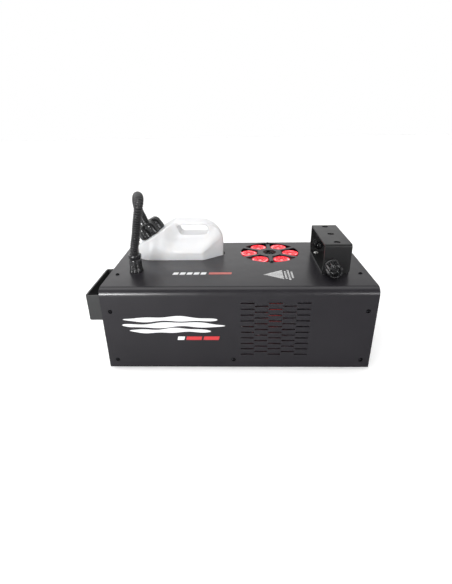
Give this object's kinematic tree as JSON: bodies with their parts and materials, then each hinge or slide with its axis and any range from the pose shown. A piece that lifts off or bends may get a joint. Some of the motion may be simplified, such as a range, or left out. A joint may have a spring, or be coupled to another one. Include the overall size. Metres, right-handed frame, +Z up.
{
  "type": "fog machine",
  "caption": "Vertical fog machine: black sheet-steel body with a lit nozzle ring in its lid, lift-out fluid bottle with conduit and capped neck, carrying strap and tilting hanging yoke.",
  "frame": {"origin": "centre of the overall footprint, at floor level under the feet", "axes": "+Z up; +X to the right seen from the front, towards the control panel; +Y to the back"},
  "size_m": [0.426, 0.2258, 0.255],
  "materials": {
    "body_paint": "satin black powder coat with a fine orange-peel texture",
    "black_zinc": "black-plated fasteners",
    "zinc_steel": "bright zinc plate",
    "bare_steel": "satin mill finish",
    "aluminium": "cast and machined",
    "brass": "turned brass",
    "copper": "drawn copper",
    "rubber": "soft black rubber",
    "black_plastic": "moulded black nylon",
    "gloss_black": "glossy black polypropylene",
    "bottle_plastic": "translucent natural polyethylene",
    "hose_plastic": "milky silicone",
    "lens": "moulded clear optic, lit red",
    "emitter": "lit light-emitting diodes",
    "circuit_board": "green solder mask",
    "parts_mix": "moulded component cases",
    "wool": "needled glass-fibre blanket",
    "ceramic": "glazed ceramic",
    "display_glass": "tinted clear window",
    "red_plastic": "glossy red rocker",
    "wire": "insulated wires"
  },
  "bodies": {
    "housing": {"cover": "body_paint", "base_plate": "body_paint", "left_end_panel": "body_paint", "right_end_panel": "body_paint", "bottle_pocket": "body_paint", "rubber_feet": "rubber", "cover_screws": "black_zinc", "underside_screws": "zinc_steel", "panel_screws": "black_zinc", "carry_handle": "body_paint", "handle_bolts": "black_zinc", "yoke_base": "body_paint", "yoke_base_bolts": "zinc_steel", "pivot_nuts": "zinc_steel", "conduit": "black_plastic", "base_gland": "gloss_black", "gland_locknut": "black_plastic", "suction_hose": "hose_plastic", "led_board": "circuit_board", "led_emitters": "emitter", "led_lenses": "lens", "lens_holders": "black_plastic", "led_heatsink": "aluminium", "led_spacers": "aluminium", "nozzle": "brass", "heater_block": "aluminium", "heater_cartridges": "bare_steel", "heater_insulation": "wool", "heater_shroud": "bare_steel", "thermostat": "ceramic", "pump_body": "black_plastic", "pump_bracket": "bare_steel", "pump_spring": "bare_steel", "delivery_pipe": "copper", "power_board": "circuit_board", "power_parts": "parts_mix", "control_board": "circuit_board", "board_standoffs": "brass", "display_window": "display_glass", "wiring_harness": "wire", "power_inlet": "black_plastic", "switch_housing": "black_plastic", "dmx_sockets": "black_zinc"},
    "yoke_body": {"yoke": "body_paint", "friction_washers": "rubber"},
    "front_knob_body": {"front_knob": "black_plastic"},
    "rear_knob_body": {"rear_knob": "black_plastic"},
    "bottle": {"fluid_bottle": "bottle_plastic", "cap_gland": "black_plastic", "dip_tube": "hose_plastic", "intake_filter": "bare_steel"},
    "cap": {"bottle_cap": "gloss_black", "cap_seal": "rubber"},
    "rocker": {"power_rocker": "red_plastic"},
    "menu_key": {"button_menu": "rubber"},
    "down_key": {"button_down": "rubber"},
    "up_key": {"button_up": "rubber"},
    "enter_key": {"button_enter": "rubber"},
    "fuse_tray": {"fuse_drawer": "black_plastic"},
    "plunger": {"pump_plunger": "bare_steel"}
  },
  "joints": [
    {"name": "yoke_tilt", "type": "hinge", "parent": "housing", "child": "yoke_body", "pos_m": [0.15, -0.0065, 0.1515], "axis": [0, 1, 0], "range_deg": [-10, 7]},
    {"name": "front_knob_turn", "type": "hinge", "parent": "yoke_body", "child": "front_knob_body", "pos_m": [0.15, -0.062, 0.1515], "axis": [0, -1, 0], "continuous": true},
    {"name": "rear_knob_turn", "type": "hinge", "parent": "yoke_body", "child": "rear_knob_body", "pos_m": [0.15, 0.049, 0.1515], "axis": [0, 1, 0], "continuous": true},
    {"name": "bottle_lift", "type": "slide", "parent": "housing", "child": "bottle", "axis": [0, 0, 1], "range_m": [0, 0.065], "deforming": ["conduit", "suction_hose"]},
    {"name": "cap_turn", "type": "hinge", "parent": "bottle", "child": "cap", "pos_m": [-0.1366, 0.042, 0.1737], "axis": [-0.5396, 0, 0.8419], "continuous": true},
    {"name": "rocker_tip", "type": "hinge", "parent": "housing", "child": "rocker", "pos_m": [0.2065, 0.01, 0.049], "axis": [0, 1, 0], "range_deg": [-20, 0]},
    {"name": "menu_press", "type": "slide", "parent": "housing", "child": "menu_key", "axis": [-1, 0, 0], "range_m": [0, 0.001]},
    {"name": "down_press", "type": "slide", "parent": "housing", "child": "down_key", "axis": [-1, 0, 0], "range_m": [0, 0.001]},
    {"name": "up_press", "type": "slide", "parent": "housing", "child": "up_key", "axis": [-1, 0, 0], "range_m": [0, 0.001]},
    {"name": "enter_press", "type": "slide", "parent": "housing", "child": "enter_key", "axis": [-1, 0, 0], "range_m": [0, 0.001]},
    {"name": "fuse_tray_slide", "type": "slide", "parent": "housing", "child": "fuse_tray", "axis": [1, 0, 0], "range_m": [0, 0.016]},
    {"name": "plunger_stroke", "type": "slide", "parent": "housing", "child": "plunger", "axis": [0, 0, 1], "range_m": [-0.002, 0.002], "deforming": ["pump_spring"]}
  ]
}
